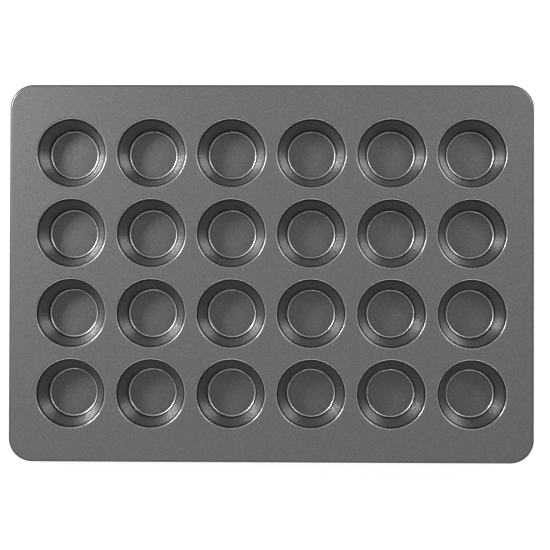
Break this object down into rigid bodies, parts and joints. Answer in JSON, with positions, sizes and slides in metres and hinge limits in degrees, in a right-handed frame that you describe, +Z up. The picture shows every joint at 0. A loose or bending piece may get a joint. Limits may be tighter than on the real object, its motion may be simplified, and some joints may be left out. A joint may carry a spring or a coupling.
{
  "type": "muffin tin",
  "caption": "Rectangular non-stick baking tray with rows of round tapered cups sunk in a flat deck, rounded corners and a rolled rim.",
  "frame": {"origin": "under the middle of the tin, on the plane that the cup floors stand on", "axes": "+X along the long side, +Y along the short side to the back, +Z up out of the cups"},
  "size_m": [0.523, 0.3764, 0.0326],
  "materials": {
    "coated_sheet": "satin",
    "wire": "satin"
  },
  "bodies": {
    "root": {"deck": "coated_sheet", "cup_a1": "coated_sheet", "cup_a2": "coated_sheet", "cup_a3": "coated_sheet", "cup_a4": "coated_sheet", "cup_a5": "coated_sheet", "cup_a6": "coated_sheet", "cup_b1": "coated_sheet", "cup_b2": "coated_sheet", "cup_b3": "coated_sheet", "cup_b4": "coated_sheet", "cup_b5": "coated_sheet", "cup_b6": "coated_sheet", "cup_c1": "coated_sheet", "cup_c2": "coated_sheet", "cup_c3": "coated_sheet", "cup_c4": "coated_sheet", "cup_c5": "coated_sheet", "cup_c6": "coated_sheet", "cup_d1": "coated_sheet", "cup_d2": "coated_sheet", "cup_d3": "coated_sheet", "cup_d4": "coated_sheet", "cup_d5": "coated_sheet", "cup_d6": "coated_sheet", "rim_wire": "wire"}
  },
  "joints": []
}
